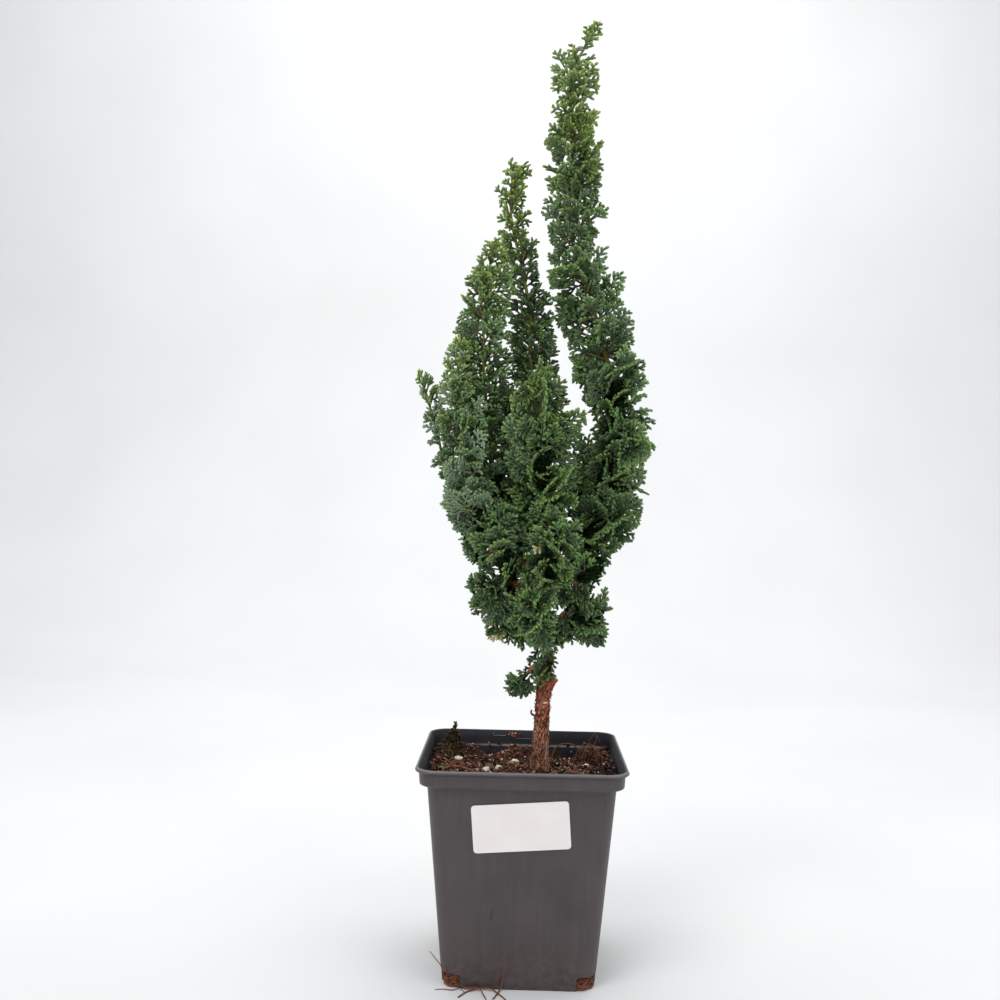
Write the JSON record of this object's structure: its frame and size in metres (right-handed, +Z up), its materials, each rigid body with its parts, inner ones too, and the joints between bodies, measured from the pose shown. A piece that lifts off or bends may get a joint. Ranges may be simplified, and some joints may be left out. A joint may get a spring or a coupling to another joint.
{
  "type": "hinoki cypress bonsai in nursery pot",
  "caption": "Young hinoki cypress bonsai with upright flame-like leaders of fan sprays, rooted in a square plastic nursery pot with a blank label.",
  "frame": {"origin": "middle of the pot's flat base, on the surface that it stands on", "axes": "+Z up along the tree's height, -Y towards the front face with the label, +X to the right of that face"},
  "size_m": [0.134, 0.11, 0.5236],
  "materials": {
    "pot_plastic": "dark grey moulded polypropylene with fine scuffs",
    "label_paper": "white semi-matt sticker, blank",
    "peat": "dark fibrous peat with perlite",
    "dry_moss": "dry brown moss",
    "bark": "red-brown bark flaking in strips",
    "foliage": "dark green scale leaves, yellow-green at the fresh tips"
  },
  "bodies": {
    "root": {"pot": "pot_plastic", "label": "label_paper", "soil": "peat", "dry_tuft": "dry_moss", "trunk": "bark", "right_leader": "foliage", "middle_leader": "foliage", "left_inner_leader": "foliage", "left_front_stem": "foliage", "left_outer_stem": "foliage", "centre_front_stem": "foliage", "back_stem": "foliage", "back_right_stem": "foliage", "low_left_spray": "foliage", "low_left_back_spray": "foliage", "low_right_spray": "foliage", "low_right_back_spray": "foliage", "low_front_spray": "foliage", "low_back_spray": "foliage", "fork_front_spray": "foliage", "fork_right_spray": "foliage", "fork_left_spray": "foliage", "trunk_right_spray": "foliage", "trunk_left_spray": "foliage"}
  },
  "joints": []
}
